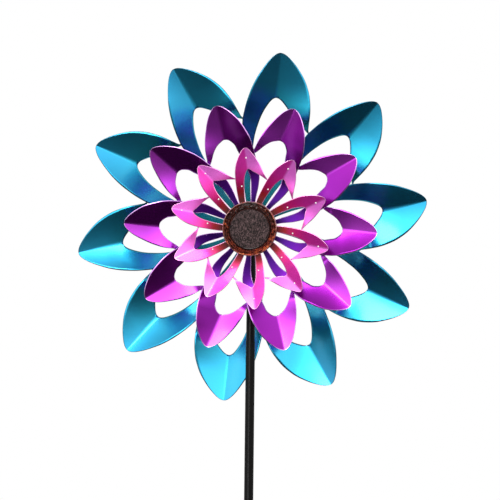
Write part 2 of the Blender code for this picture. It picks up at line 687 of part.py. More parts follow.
def bead_spans(proud):
    """Where each bead's rod runs, from inside the lead to in front of the petal."""
    tier = TIERS["front"]
    spans = []
    for index in range(PETALS):
        for out, side in BEADS:
            start = petal_point(tier, out, side)
            end = start.copy()
            start.y -= LEAD_MIDDLE
            end.y -= SHEET / 2 + proud
            spans.append((turned_place(start, index), turned_place(end, index)))
    return spans


def add_lamps(wire, axis):
    harness = finish(lead_sheet(), "led_harness", wire, axis)
    sheet = harness.modifiers.new("lead", "SOLIDIFY")
    sheet.thickness = LEAD_THICK
    sheet.offset = 0.0
    out = feed_place()
    start = -(FRONT + PETAL_SEAT + LEAD_MIDDLE)
    feed = (out + Vector((0, start, 0)), out + Vector((0, -(BOARD_BACK - FEED_CLEAR), 0)))
    combine(harness, guide(rods(bead_spans(BEAD_PROUD), BEAD_R, 8), "bead_shapes", axis), "UNION")
    combine(harness, guide(rods([feed], FEED_R, 8), "feed_shape", axis), "UNION")


# ------------------------------------------------------------ build
def clear_scene():
    for old in list(bpy.data.objects):
        bpy.data.objects.remove(old, do_unlink=True)


def build():
    clear_scene()
    looks = {
        "guide": material("guide", (0.5, 0.5, 0.5), 0.5, 0.0),
        "black": material("black_paint", (0.012, 0.012, 0.013), 0.35, 0.3),
        "plastic": material("black_plastic", (0.02, 0.02, 0.02), 0.5, 0.0),
        "steel": material("zinc_steel", (0.60, 0.60, 0.58), 0.3, 1.0),
        "teal": material("teal_lacquer", (0.00, 0.36, 0.55), 0.28, 0.7),
        "purple": material("purple_lacquer", (0.32, 0.01, 0.50), 0.28, 0.7),
        "pink": material("pink_lacquer", (0.80, 0.03, 0.30), 0.28, 0.7),
        "bronze": material("bronze_bezel", (0.16, 0.05, 0.03), 0.3, 0.9),
        "panel": material("solar_cell", (0.05, 0.035, 0.035), 0.3, 0.1),
        "board": material("circuit_board", (0.02, 0.16, 0.06), 0.5, 0.0),
        "cell": material("battery_wrap", (0.10, 0.25, 0.10), 0.4, 0.0),
        "wire": material("lamp_wire", (0.75, 0.75, 0.72), 0.4, 0.0),
    }
    add_fork(looks["black"])
    add_pole(looks["black"])

    head = axis_empty("head_axis", (0.0, 0.0, 0.0))
    axle = axis_empty("axle_axis", (0.0, 0.0, AXLE_HEIGHT), head)
    add_head(looks["black"], looks["plastic"], head)
    add_axle(looks["steel"], axle)

    colours = {"back": "teal", "middle": "purple", "front": "pink"}
    rotors = {}
    for label, colour in colours.items():
        rotors[label] = axis_empty(f"{label}_rotor_axis", (0.0, 0.0, AXLE_HEIGHT), head)
        add_hub(label, looks["black"], looks["steel"], rotors[label])
        holes = None
        if label == "front":
            cutters = rods(bead_spans(2 * BEAD_PROUD), BEAD_R + BEAD_CLEAR, 8)
            holes = guide(cutters, "bead_hole_cutter", rotors[label])
        add_petals(label, looks[colour], rotors[label], holes)

    add_housing(looks["plastic"], rotors["front"])
    add_solar_stack(looks, rotors["front"])
    add_switch(looks["plastic"], rotors["front"])
    add_lamps(looks["wire"], rotors["front"])


build()
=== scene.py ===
"""Looks of the three-tier solar wind spinner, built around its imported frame."""
import json
import math

import bmesh
import bpy
import numpy as np
from mathutils import Matrix, Quaternion, Vector, noise


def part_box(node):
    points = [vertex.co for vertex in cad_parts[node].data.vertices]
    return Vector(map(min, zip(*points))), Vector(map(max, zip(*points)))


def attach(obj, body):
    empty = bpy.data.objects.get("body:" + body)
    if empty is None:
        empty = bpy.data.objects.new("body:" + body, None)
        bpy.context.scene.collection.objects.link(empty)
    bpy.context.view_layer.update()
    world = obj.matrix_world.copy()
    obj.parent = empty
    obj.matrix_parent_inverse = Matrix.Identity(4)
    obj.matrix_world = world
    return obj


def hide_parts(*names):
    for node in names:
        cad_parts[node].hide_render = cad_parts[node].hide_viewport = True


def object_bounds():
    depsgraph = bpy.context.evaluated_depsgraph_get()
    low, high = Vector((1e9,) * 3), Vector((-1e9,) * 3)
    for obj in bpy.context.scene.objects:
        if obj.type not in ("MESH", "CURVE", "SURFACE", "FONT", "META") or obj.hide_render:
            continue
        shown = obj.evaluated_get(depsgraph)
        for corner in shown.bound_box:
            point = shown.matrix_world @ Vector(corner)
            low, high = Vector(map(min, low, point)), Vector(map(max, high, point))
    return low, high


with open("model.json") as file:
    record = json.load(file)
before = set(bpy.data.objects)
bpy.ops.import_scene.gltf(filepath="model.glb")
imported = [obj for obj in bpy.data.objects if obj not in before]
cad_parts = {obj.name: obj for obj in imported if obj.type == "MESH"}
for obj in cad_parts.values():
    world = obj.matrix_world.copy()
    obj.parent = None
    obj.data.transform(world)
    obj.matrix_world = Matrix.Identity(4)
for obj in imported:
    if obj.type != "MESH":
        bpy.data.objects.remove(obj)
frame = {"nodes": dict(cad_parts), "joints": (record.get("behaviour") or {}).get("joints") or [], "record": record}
cad_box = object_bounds()

# ------------------------------------------------------------ sizes (metres)
AXLE_HEIGHT = frame["joints"][1]["pos_m"][2]
PETALS = 10
SHEET = 0.0008                  # sheet thickness
SEAT = 0.0003 + SHEET / 2       # petal sheet's middle over its hub's face
FOOT_OUT = 0.022                # where a petal's foot starts
CUP_START = 0.30
FOLD_START, FOLD_FULL = 0.40, 0.72      # shares of the tip radius, here and below
TWIST_START, TWIST_FULL = 0.62, 0.85
FOLD_CURL = 2.5                 # how much steeper a half gets away from the crease
PITCH_SLOPE = 0.08              # arm side forward, lobe side back
ARM_START, ARM_FULL, ARM_EASE, ARM_LEVEL = 0.20, 0.28, 0.36, 0.48   # an arm's pitch by the hub
TUCK_LENGTH = 0.10              # over which a lobe's end drops behind the next arm
GAP = 0.0003
BUSBAR_X = 0.0048               # contact lines, from the panel's middle
BUSBAR_HALF = 0.0004
BEZEL_INNER = 0.0362            # where the bezel's shaded inner lip ends
BEZEL_LIP = 0.0449              # inner side of the bezel's outer lip, which carries a painted highlight

# Edges of a petal that points up: smooth lines through (out, side), as shares
# of the tip radius, with the arm on the left and the lobe on the right.
TIERS = {
    "back": {
        "radius": 0.305,
        "turn": 8.8,
        "mirrored": False,
        "cup": 0.022,
        "arm_pitch": 0.0,
        "arm_fold": 0.22,
        "lobe_fold": 0.16,
        "arm_outer": [(0.072, -0.036), (0.153, -0.068), (0.276, -0.099), (0.500, -0.139),
                      (0.596, -0.156), (0.653, -0.153), (0.749, -0.139), (0.834, -0.115),
                      (0.891, -0.090), (0.953, -0.056), (0.985, -0.030), (1.000, 0.000)],
        "arm_inner": [(0.072, -0.012), (0.153, -0.038), (0.276, -0.059), (0.494, -0.074),
                      (0.596, -0.062), (0.641, -0.051), (0.698, -0.028), (0.743, 0.014)],
        "lobe_inner": [(0.556, 0.245), (0.573, 0.222), (0.658, 0.114), (0.687, 0.091),
                       (0.721, 0.057), (0.743, 0.014)],
        "lobe_outer": [(0.556, 0.262), (0.573, 0.238), (0.585, 0.222), (0.636, 0.221),
                       (0.681, 0.219), (0.766, 0.204), (0.851, 0.168), (0.928, 0.109),
                       (0.970, 0.063), (0.990, 0.034), (1.000, 0.000)],
    },
    "middle": {
        "radius": 0.2175,
        "turn": 19.5,
        "mirrored": True,
        "cup": 0.018,
        "arm_pitch": -0.08,
        "arm_fold": 0.20,
        "lobe_fold": 0.10,
        "arm_outer": [(0.100, -0.055), (0.213, -0.102), (0.315, -0.155), (0.394, -0.181),
                      (0.630, -0.194), (0.693, -0.189), (0.764, -0.173), (0.850, -0.144),
                      (0.898, -0.116), (0.949, -0.078), (0.980, -0.046), (1.000, 0.000)],
        "arm_inner": [(0.100, -0.018), (0.236, -0.066), (0.394, -0.104), (0.500, -0.088),
                      (0.630, -0.063), (0.657, -0.059), (0.693, -0.039), (0.716, -0.016),
                      (0.724, 0.016)],
        "lobe_inner": [(0.543, 0.197), (0.575, 0.165), (0.598, 0.150), (0.650, 0.118),
                       (0.693, 0.079), (0.716, 0.039), (0.724, 0.016)],
        "lobe_outer": [(0.543, 0.232), (0.575, 0.200), (0.598, 0.189), (0.677, 0.181),
                       (0.764, 0.160), (0.850, 0.126), (0.937, 0.080), (0.978, 0.044),
                       (1.000, 0.000)],
    },
    "front": {
        "radius": 0.1385,
        "turn": -3.9,
        "mirrored": False,
        "cup": 0.008,
        "arm_pitch": 0.0,
        "arm_fold": 0.12,
        "lobe_fold": 0.04,
        "arm_outer": [(0.156, -0.066), (0.344, -0.123), (0.492, -0.141), (0.615, -0.148),
                      (0.676, -0.148), (0.738, -0.143), (0.812, -0.127), (0.873, -0.104),
                      (0.935, -0.071), (0.980, -0.039), (1.000, 0.000)],
        "arm_inner": [(0.156, -0.009), (0.344, -0.039), (0.430, -0.043), (0.553, -0.041),
                      (0.627, -0.032), (0.696, -0.010), (0.732, 0.020)],
        "lobe_inner": [(0.556, 0.272), (0.600, 0.222), (0.672, 0.123), (0.706, 0.066),
                       (0.732, 0.020)],
        "lobe_outer": [(0.556, 0.296), (0.603, 0.243), (0.676, 0.209), (0.769, 0.174),
                       (0.861, 0.125), (0.940, 0.070), (0.980, 0.039), (1.000, 0.000)],
    },
}
for label, tier in TIERS.items():
    tier["forward"] = -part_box(f"{label}_hub")[0][1]


# ------------------------------------------------------------ shader helpers
class Nodes:
    """Short calls for building one material's nodes."""

    def __init__(self, name):
        self.material = bpy.data.materials.new(name)
        self.material.use_nodes = True
        self.tree = self.material.node_tree
        self.shader = self.tree.nodes["Principled BSDF"]

    def add(self, kind, **inputs):
        node = self.tree.nodes.new(kind)
        for key, value in inputs.items():
            self.put(node, key, value)
        return node

    def put(self, node, key, value):
        socket = node.inputs[int(key[1:])] if key[0] == "i" and key[1:].isdigit() else (
            node.inputs[key.replace("_", " ")])
        if isinstance(value, bpy.types.NodeSocket):
            self.tree.links.new(value, socket)
        else:
            socket.default_value = value

    def set(self, **inputs):
        for key, value in inputs.items():
            self.put(self.shader, key, value)

    def math(self, operation, a, b=0.0, clamp=False):
        node = self.add("ShaderNodeMath", i0=a, i1=b)
        node.operation = operation
        node.use_clamp = clamp
        return node.outputs[0]

    def position(self):
        return self.add("ShaderNodeTexCoord").outputs["Object"]

    def noise(self, vector, scale, detail=2.0, rough=0.5):
        node = self.add("ShaderNodeTexNoise", Vector=vector, Scale=scale, Detail=detail,
                        Roughness=rough)
        return node.outputs["Fac"]

    def span(self, value, low, high, to_low=0.0, to_high=1.0, smooth=False):
        node = self.add("ShaderNodeMapRange", Value=value)
        node.interpolation_type = "SMOOTHSTEP" if smooth else "LINEAR"
        for key, number in zip((1, 2, 3, 4), (low, high, to_low, to_high)):
            node.inputs[key].default_value = number
        return node.outputs[0]

    def ramp(self, value, stops):
        node = self.add("ShaderNodeValToRGB", Fac=value)
        elements = node.color_ramp.elements
        while len(elements) < len(stops):
            elements.new(0.5)
        for element, (place, colour) in zip(elements, stops):
            element.position = place
            element.color = (*colour, 1.0)
        return node.outputs["Color"]

    def mix(self, share, a, b, blend="MIX"):
        node = self.add("ShaderNodeMix")
        node.data_type = "RGBA"
        node.blend_type = blend
        for socket, value in ((node.inputs[0], share), (node.inputs[6], a), (node.inputs[7], b)):
            if isinstance(value, bpy.types.NodeSocket):
                self.tree.links.new(value, socket)
            else:
                socket.default_value = value if isinstance(value, float) else (*value, 1.0)
        return node.outputs[2]

    def bump(self, height, strength, distance):
        node = self.add("ShaderNodeBump", Strength=strength, Distance=distance, Height=height)
        self.put(self.shader, "Normal", node.outputs["Normal"])


def from_axle(nodes):
    """Distance from the axle, in metres, across the face of a rotor."""
    split = nodes.add("ShaderNodeSeparateXYZ", Vector=nodes.position())
    flat = nodes.add("ShaderNodeCombineXYZ", X=split.outputs["X"],
                     Y=nodes.math("SUBTRACT", split.outputs["Z"], AXLE_HEIGHT))
    length = nodes.add("ShaderNodeVectorMath", i0=flat.outputs[0])
    length.operation = "LENGTH"
    return length.outputs["Value"]


# ------------------------------------------------------------ materials
CREASE_BLEND = (-0.004, 0.001)  # where the arm half's painted shade ends, from the crease
EDGE_BAND_WIDTH = 0.0014             # of the coloured band along a cut edge: a painted highlight on purple and pink, darker on teal


def lacquer(name, label, stops, rim, arm_shade, metallic=1.0, coat=0.5):
    """Tinted lacquer over bright metal: its colour changes outwards from the hub, a petal's arm half
    is darkened as painted shade, and the cut edge has a pale painted highlight on purple and pink and a darker
    band on teal."""
    nodes = Nodes(name)
    out = nodes.math("DIVIDE", from_axle(nodes), TIERS[label]["radius"])
    cloud = nodes.noise(nodes.position(), 9.0, 1.0)
    out = nodes.math("ADD", out, nodes.math("MULTIPLY", nodes.math("SUBTRACT", cloud, 0.5), 0.15))
    base = nodes.ramp(out, stops)
    fine = nodes.noise(nodes.position(), 900.0, 2.0)
    base = nodes.mix(nodes.span(fine, 0.35, 0.75, 0.0, 0.15), base, (0.55, 0.55, 0.55),
                     "MULTIPLY")
    half = nodes.add("ShaderNodeAttribute")
    half.attribute_name = "from_crease"
    on_arm = nodes.span(half.outputs["Fac"], *CREASE_BLEND, 1.0, 0.0, smooth=True)
    # painted shade: every petal's arm half is darkened, whichever way it faces
    base = nodes.mix(on_arm, base, nodes.mix(1.0, base, arm_shade, "MULTIPLY"))
    edge = nodes.add("ShaderNodeAttribute")
    edge.attribute_name = "edge"
    # painted highlight along the cut edge on purple and pink, where the sheet's edge would catch light; a darker
    # band on teal
    edge_band = nodes.span(edge.outputs["Fac"], 0.0, EDGE_BAND_WIDTH, 1.0, 0.0, smooth=True)
    base = nodes.mix(edge_band, base, rim)
    nodes.set(Base_Color=base, Metallic=metallic, Roughness=0.26, Coat_Weight=coat,
              Coat_Roughness=0.14)
    nodes.bump(nodes.noise(nodes.position(), 30.0, 2.0), 0.05, 0.002)
    return nodes.material


def black_paint():
    nodes = Nodes("black_paint_look")
    speck = nodes.noise(nodes.position(), 700.0, 3.0)
    base = nodes.ramp(speck, [(0.3, (0.0015, 0.0015, 0.0015)), (0.8, (0.006, 0.0055, 0.0055))])
    nodes.set(Base_Color=base, Roughness=nodes.span(speck, 0.3, 0.7, 0.24, 0.32),
              Specular_IOR_Level=0.12)
    nodes.bump(nodes.noise(nodes.position(), 260.0, 2.0), 0.08, 0.0006)
    return nodes.material


def black_plastic():
    nodes = Nodes("black_plastic_look")
    grain = nodes.noise(nodes.position(), 1400.0, 2.0)
    base = nodes.ramp(grain, [(0.3, (0.010, 0.010, 0.010)), (0.8, (0.026, 0.026, 0.026))])
    nodes.set(Base_Color=base, Roughness=0.5)
    nodes.bump(grain, 0.2, 0.0003)
    return nodes.material


def zinc():
    nodes = Nodes("zinc_look")
    stretch = nodes.add("ShaderNodeMapping", Vector=nodes.position(), Scale=(900.0, 40.0, 900.0))
    lines = nodes.noise(stretch.outputs[0], 1.0, 2.0)
    base = nodes.ramp(lines, [(0.3, (0.42, 0.42, 0.40)), (0.7, (0.62, 0.62, 0.60))])
    nodes.set(Base_Color=base, Roughness=nodes.span(lines, 0.3, 0.7, 0.22, 0.38), Metallic=1.0)
    return nodes.material


def simple(name, dark, light, scale, roughness, metallic=0.0):
    nodes = Nodes(name)
    grain = nodes.noise(nodes.position(), scale, 3.0)
    nodes.set(Base_Color=nodes.ramp(grain, [(0.3, dark), (0.7, light)]), Roughness=roughness,
              Metallic=metallic)
    nodes.bump(grain, 0.1, 0.0003)
    return nodes.material


def bronze():
    """Dark red-brown bronze, turned in fine rings; orange spots are painted reflections, ring crests and outer lip
    carry painted highlights, the inner lip painted shade.
    """
    nodes = Nodes("bronze_look")
    split = nodes.add("ShaderNodeSeparateXYZ", Vector=nodes.position())
    radius = from_axle(nodes)
    waver = nodes.noise(nodes.position(), 130.0, 3.0)
    depth = nodes.math("ADD", nodes.math("ADD", radius, nodes.math("MULTIPLY", waver, 0.0022)),
                       nodes.math("MULTIPLY", split.outputs["Y"], 0.6))
    rings = nodes.math("SINE", nodes.math("MULTIPLY", depth, 4200.0))
    cloud = nodes.noise(nodes.position(), 95.0, 4.0)
    # tone varies at random; the orange spots are painted reflections of lit patches
    base = nodes.ramp(cloud, [(0.34, (0.020, 0.003, 0.003)), (0.50, (0.080, 0.009, 0.008)),
                              (0.62, (0.22, 0.032, 0.013)), (0.74, (0.75, 0.22, 0.06))])
    # painted highlight: the crests of the turned rings are coloured lighter
    crest_highlight = nodes.span(rings, 0.2, 1.0, 0.0, 0.45, smooth=True)
    base = nodes.mix(crest_highlight, base, (0.40, 0.09, 0.04))
    # painted highlight: a pale band on the outer lip all round
    lip = nodes.span(radius, BEZEL_LIP, BEZEL_LIP + 0.0007, 0.0, 0.6, smooth=True)
    base = nodes.mix(lip, base, (0.55, 0.28, 0.22))
    inside = nodes.span(radius, BEZEL_INNER, BEZEL_INNER + 0.0012, 0.85, 0.0, smooth=True)
    base = nodes.mix(inside, base, (0.010, 0.003, 0.003))
    nodes.set(Base_Color=base, Metallic=0.9, Roughness=nodes.span(cloud, 0.3, 0.7, 0.34, 0.20),
              Coat_Weight=0.3, Coat_Roughness=0.1)
    nodes.bump(nodes.math("ADD", rings, nodes.math("MULTIPLY", cloud, 2.0)), 0.5, 0.0008)
    return nodes.material


def solar_cell():
    """Crackled dark silicon under resin, with two thin contact lines."""
    nodes = Nodes("solar_cell_look")
    split = nodes.add("ShaderNodeSeparateXYZ", Vector=nodes.position())
    stretch = nodes.add("ShaderNodeMapping", Vector=nodes.position(), Scale=(1500.0, 900.0, 560.0))
    flakes = nodes.add("ShaderNodeTexVoronoi", Vector=stretch.outputs[0], Scale=1.0)
    shade = nodes.add("ShaderNodeSeparateColor", Color=flakes.outputs["Color"])
    broad = nodes.noise(nodes.position(), 190.0, 3.0)
    mixed = nodes.math("ADD", nodes.math("MULTIPLY", shade.outputs[0], 0.55),
                       nodes.math("MULTIPLY", broad, 0.55))
    base = nodes.ramp(mixed, [(0.30, (0.001, 0.001, 0.001)), (0.55, (0.018, 0.008, 0.008)),
                              (0.80, (0.13, 0.080, 0.082))])
    across = nodes.math("ABSOLUTE", split.outputs["X"])
    line = nodes.math("ABSOLUTE", nodes.math("SUBTRACT", across, BUSBAR_X))
    base = nodes.mix(nodes.span(line, BUSBAR_HALF, BUSBAR_HALF * 2, 0.22, 0.0), base,
                     (0.12, 0.080, 0.075))
    nodes.set(Base_Color=base, Roughness=0.42, Specular_IOR_Level=0.16)
    nodes.bump(shade.outputs[0], 0.12, 0.0002)
    return nodes.material


# ------------------------------------------------------------ mesh helpers
def piece(name, mesh, look, body, slot, *nodes):
    made = bpy.data.objects.new(name, mesh)
    bpy.context.scene.collection.objects.link(made)
    mesh.materials.append(look)
    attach(made, body)
    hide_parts(*nodes)
    return made


def smoothstep(value, start, end):
    share = min(1.0, max(0.0, (value - start) / (end - start)))
    return share * share * (3.0 - 2.0 * share)


def line_through(points, out):
    """Side of an edge at one distance out. The edge's last point is a round end."""
    end = points[-1][0]
    xs = np.array([-math.sqrt(end - point[0]) for point in points])
    ys = np.array([point[1] for point in points])
    rise = np.diff(ys) / np.diff(xs)
    slope = np.concatenate([rise[:1], (rise[1:] + rise[:-1]) / 2, rise[-1:]])
    for i in range(1, len(xs) - 1):
        if rise[i - 1] * rise[i] <= 0.0:
            slope[i] = 0.0
        else:
            slope[i] = 2.0 * rise[i - 1] * rise[i] / (rise[i - 1] + rise[i])
    at = min(max(-math.sqrt(max(0.0, end - out)), xs[0]), xs[-1])
    i = min(int(np.searchsorted(xs, at, side="right")) - 1, len(xs) - 2)
    width = xs[i + 1] - xs[i]
    t = (at - xs[i]) / width
    return float(ys[i] * (1 + 2 * t) * (1 - t) ** 2 + slope[i] * width * t * (1 - t) ** 2
                 + ys[i + 1] * t * t * (3 - 2 * t) + slope[i + 1] * width * t * t * (t - 1))


# ------------------------------------------------------------ petals
ROWS_ARM, ROWS_LOBE, ROWS_BLADE = 24, 24, 34
COLUMNS = 12


def crease_side(tier, out):
    corner_out, corner_side = tier["arm_inner"][-1]
    return corner_side * (1.0 - out) / (1.0 - corner_out)


def fold_rise(tier, out, from_crease):
    """How far forward of the crease a point lies, as a share of the radius."""
    slope = tier["lobe_fold"] if from_crease > 0.0 else tier["arm_fold"]
    reach = abs(from_crease)
    return slope * (reach + FOLD_CURL * reach**2) * smoothstep(out, FOLD_START, FOLD_FULL)


def petal_forward(tier, out, side):
    """How far forward of its foot a petal's sheet lies, at shares of the radius."""
    cup = max(0.0, (math.hypot(out, side) - CUP_START) / (1.0 - CUP_START)) ** 2
    from_crease = side - crease_side(tier, out)
    pitch = PITCH_SLOPE * side * smoothstep(out, TWIST_START, TWIST_FULL)
    rise = fold_rise(tier, out, from_crease) - pitch
    forward = tier["cup"] * cup + tier["radius"] * rise
    if out < ARM_LEVEL:
        middle = (line_through(tier["arm_outer"], out) + line_through(tier["arm_inner"], out)) / 2
        share = smoothstep(out, ARM_START, ARM_FULL) * (1.0 - smoothstep(out, ARM_EASE, ARM_LEVEL))
        forward += tier["radius"] * tier["arm_pitch"] * (side - middle) * share
    if from_crease > 0.0:
        lobe_end = tier["lobe_outer"][0][0]
        forward -= tuck_depth(tier) * (1.0 - smoothstep(out, lobe_end, lobe_end + TUCK_LENGTH))
    return forward


def tuck_depth(tier):
    """How far a lobe's end drops to lie behind the next petal's arm."""
    out, side = tier["lobe_outer"][0]
    rise = fold_rise(tier, out, side - crease_side(tier, out))
    return SHEET + 3 * GAP + tier["radius"] * rise


def petal_point(tier, out, side):
    across = -side if tier["mirrored"] else side
    forward = tier["forward"] + SEAT + petal_forward(tier, out, side)
    return Vector((tier["radius"] * across, -forward, AXLE_HEIGHT + tier["radius"] * out))


def mark_edges(bm, tier):
    """Each point's distance from the sheet's cut edge and from the crease, in metres."""
    layer = bm.verts.layers.float.new("edge")
    crease = bm.verts.layers.float.new("from_crease")
    rim = [vert.co.copy() for edge in bm.edges if edge.is_boundary for vert in edge.verts]
    rim += [(edge.verts[0].co + edge.verts[1].co) / 2 for edge in bm.edges if edge.is_boundary]
    places = np.array(rim)
    for vert in bm.verts:
        side = vert.co.x / tier["radius"] * (-1 if tier["mirrored"] else 1)
        out = (vert.co.z - AXLE_HEIGHT) / tier["radius"]
        vert[crease] = (side - crease_side(tier, out)) * tier["radius"]
        vert[layer] = float(np.sqrt(((places - np.array(vert.co)) ** 2).sum(axis=1).min()))


def petal_mesh(label):
    """A petal's sheet as a fine grid: an arm and a lobe that join along the crease."""
    tier = TIERS[label]
    lobe_end = tier["lobe_outer"][0][0]
    corner = tier["arm_inner"][-1][0]
    foot = FOOT_OUT / tier["radius"]
    ease = np.sin(np.linspace(0.0, math.pi / 2, ROWS_LOBE + 1))
    tip_ease = np.sin(np.linspace(0.0, math.pi / 2, ROWS_BLADE + 1))
    rows = [*np.linspace(foot, lobe_end, ROWS_ARM + 1)[:-1],
            *(lobe_end + (corner - lobe_end) * ease)[:-1],
            *(corner + (1.0 - corner) * tip_ease)]
    bm = bmesh.new()
    tip = bm.verts.new(petal_point(tier, 1.0, 0.0))
    shares = np.linspace(0.0, 1.0, COLUMNS + 1)
    arm, lobe = [], []
    for out in rows[:-1]:
        crease = crease_side(tier, out)
        outer = line_through(tier["arm_outer"], out)
        below = out < corner - 1e-9
        inner = line_through(tier["arm_inner"], out) if below else crease
        arm.append([bm.verts.new(petal_point(tier, out, outer + s * (inner - outer)))
                    for s in shares])
        if out < lobe_end - 1e-9:
            continue
        inner = line_through(tier["lobe_inner"], out) if below else crease
        outer = line_through(tier["lobe_outer"], out)
        row = [] if below else [arm[-1][-1]]
        row += [bm.verts.new(petal_point(tier, out, inner + s * (outer - inner)))
                for s in shares[len(row):]]
        lobe.append(row)
    for strip in (arm, lobe):
        for low, high in zip(strip, strip[1:]):
            for i in range(COLUMNS):
                bm.faces.new((low[i], low[i + 1], high[i + 1], high[i]))
        for i in range(COLUMNS):
            bm.faces.new((strip[-1][i], strip[-1][i + 1], tip))
    bmesh.ops.recalc_face_normals(bm, faces=bm.faces)
    mark_edges(bm, tier)
    mesh = bpy.data.meshes.new(f"{label}_petal_look")
    bm.to_mesh(mesh)
    bm.free()
    mesh.shade_smooth()
    return mesh


def petals(label, look, slot):
    mesh = petal_mesh(label)
    pivot = Matrix.Translation((0.0, 0.0, AXLE_HEIGHT))
    for index in range(PETALS):
        name = f"{label}_petal_{index + 1:02d}"
        turn = math.radians(TIERS[label]["turn"] + index * 360.0 / PETALS)
        turned = mesh.copy()
        turned.transform(pivot @ Matrix.Rotation(turn, 4, "Y") @ pivot.inverted())
        made = piece(f"{name}_shape", turned, look, f"{label}_rotor", slot, name)
        sheet = made.modifiers.new("sheet", "SOLIDIFY")
        sheet.thickness = SHEET
        sheet.offset = 0.0


# ------------------------------------------------------------ solar hub
PIECE_SHARP = 35.0              # degrees


def lathe(bm, profile, steps, centre, shift=None):
    """Turn (radius, forward) points about a line along Y. A shift may move each point."""
    rings = []
    for radius, forward in profile:
        ring = []
        for i in range(steps):
            turn = 2 * math.pi * i / steps
            r, f = shift(radius, forward, turn) if shift else (radius, forward)
            ring.append(bm.verts.new((centre[0] + r * math.sin(turn), -f,
                                      centre[1] + r * math.cos(turn))))
        rings.append(ring)
    for low, high in zip(rings, rings[1:]):
        for i in range(steps):
            j = (i + 1) % steps
            bm.faces.new((low[i], low[j], high[j], high[i]))
    return rings


def to_mesh(bm, name):
    bmesh.ops.recalc_face_normals(bm, faces=bm.faces)
    mesh = bpy.data.meshes.new(name)
    bm.to_mesh(mesh)
    bm.free()
    mesh.shade_smooth()
    mesh.set_sharp_from_angle(angle=math.radians(PIECE_SHARP))
    return mesh


BEZEL_STEPS = 220
BEZEL_WALL = 0.0017
BEZEL_DEPTH = 0.0090            # the ring's solid part, back from its front
WINDOW_R = 0.0334
RIBS, RIB_POINTS = 5, 4
RIB_HEIGHT = 0.00032
DENT_INNER = (0.0345, 0.0375)   # radii between which the hammer marks begin
DENT_OUTER = (0.0440, 0.0452)   # and end
DENT_SCALE = 210.0
DENT_DEPTH = 0.00055


def dented(radius, forward, turn):
    """Hammer marks on the bezel's sloping face, fading out at its two rims."""
    face = smoothstep(radius, *DENT_INNER) * (1.0 - smoothstep(radius, *DENT_OUTER))
    place = Vector((radius * math.sin(turn), radius * math.cos(turn), 0.0)) * DENT_SCALE
    mark = noise.noise(place) - 0.5 * abs(noise.noise(place * 2.3))
    return radius, forward + DENT_DEPTH * face * (mark - 0.5)


def bezel(look):
    """Hammered ring: a round rim, a ribbed slope down to the window, and an inner lip."""
    low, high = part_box("bezel_ring")
    front, back, outer = -low[1], -high[1], high[0]
    profile = [(outer - BEZEL_WALL, back), (outer, back), (outer, front - 0.0034),
               (outer - 0.0003, front - 0.0016), (outer - 0.0011, front - 0.0004),
               (outer - 0.0020, front), (outer - 0.0029, front - 0.0005)]
    slope_out, slope_in = outer - 0.0034, WINDOW_R + 0.0030
    for i in range(RIBS * RIB_POINTS + 1):
        share = i / (RIBS * RIB_POINTS)
        ripple = RIB_HEIGHT * math.cos(2 * math.pi * RIBS * share)
        profile.append((slope_out + (slope_in - slope_out) * share,
                        front - 0.0013 - 0.0052 * share + ripple))
    profile += [(WINDOW_R + 0.0022, front - 0.0078), (WINDOW_R + 0.0012, front - 0.0072),
                (WINDOW_R + 0.0003, front - 0.0074), (WINDOW_R, front - 0.0080),
                (WINDOW_R, front - BEZEL_DEPTH), (outer - BEZEL_WALL, front - BEZEL_DEPTH),
                (outer - BEZEL_WALL, back)]
    bm = bmesh.new()
    lathe(bm, profile, BEZEL_STEPS, (0.0, AXLE_HEIGHT), dented)
    bmesh.ops.remove_doubles(bm, verts=bm.verts, dist=1e-6)
    piece("bezel_shape", to_mesh(bm, "bezel_shape"), look, "front_rotor", "bronze_bezel",
          "bezel_ring")


# ------------------------------------------------------------ lamps on the front petals
LEAD_ROUTE = [(0.32, -0.078), (0.42, -0.080), (0.525, -0.074), (0.62, -0.074),
              (0.70, -0.058), (0.79, -0.026), (0.873, 0.000), (0.895, 0.004)]
LAMP_PLACES = (LEAD_ROUTE[2], LEAD_ROUTE[6])
LEAD_BACK = 0.0015              # the lead's middle behind the sheet's
LEAD_HALF = (0.0009, 0.00035)   # half the lead's width and thickness
LEAD_SIDES = 8
LEAD_SHARES = (0.0, 0.25, 0.5, 0.75)
LEAD_RING_R = 0.0355
LEAD_RING_STEPS = 160
LAMP_R = 0.0016
LAMP_STEPS = 20
LAMP_FOOT = 0.0016              # how far a lamp's collar reaches back through the sheet
LAMP_RISES = 6
LAMP_PROUD = 0.0014


def on_front(out, side, turn, back=0.0):
    """A place on a front petal that is turned about the axle."""
    point = petal_point(TIERS["front"], out, side)
    point.y += back
    pivot = Matrix.Translation((0.0, 0.0, AXLE_HEIGHT))
    return pivot @ Matrix.Rotation(turn, 4, "Y") @ pivot.inverted() @ point


def ribbon(bm, path, width, thick):
    """A flat lead with rounded sides along a path that faces the front."""
    rings = []
    for i, point in enumerate(path):
        ahead = path[min(i + 1, len(path) - 1)] - path[max(i - 1, 0)]
        across = ahead.cross(Vector((0.0, 1.0, 0.0))).normalized()
        up = across.cross(ahead).normalized()
        ring = []
        for k in range(LEAD_SIDES):
            turn = 2 * math.pi * (k + 0.5) / LEAD_SIDES
            ring.append(bm.verts.new(point + across * width * math.cos(turn)
                                     + up * thick * math.sin(turn)))
        rings.append(ring)
    for low, high in zip(rings, rings[1:]):
        for k in range(LEAD_SIDES):
            j = (k + 1) % LEAD_SIDES
            bm.faces.new((low[k], low[j], high[j], high[k]))
    bm.faces.new(rings[0])
    bm.faces.new(rings[-1])


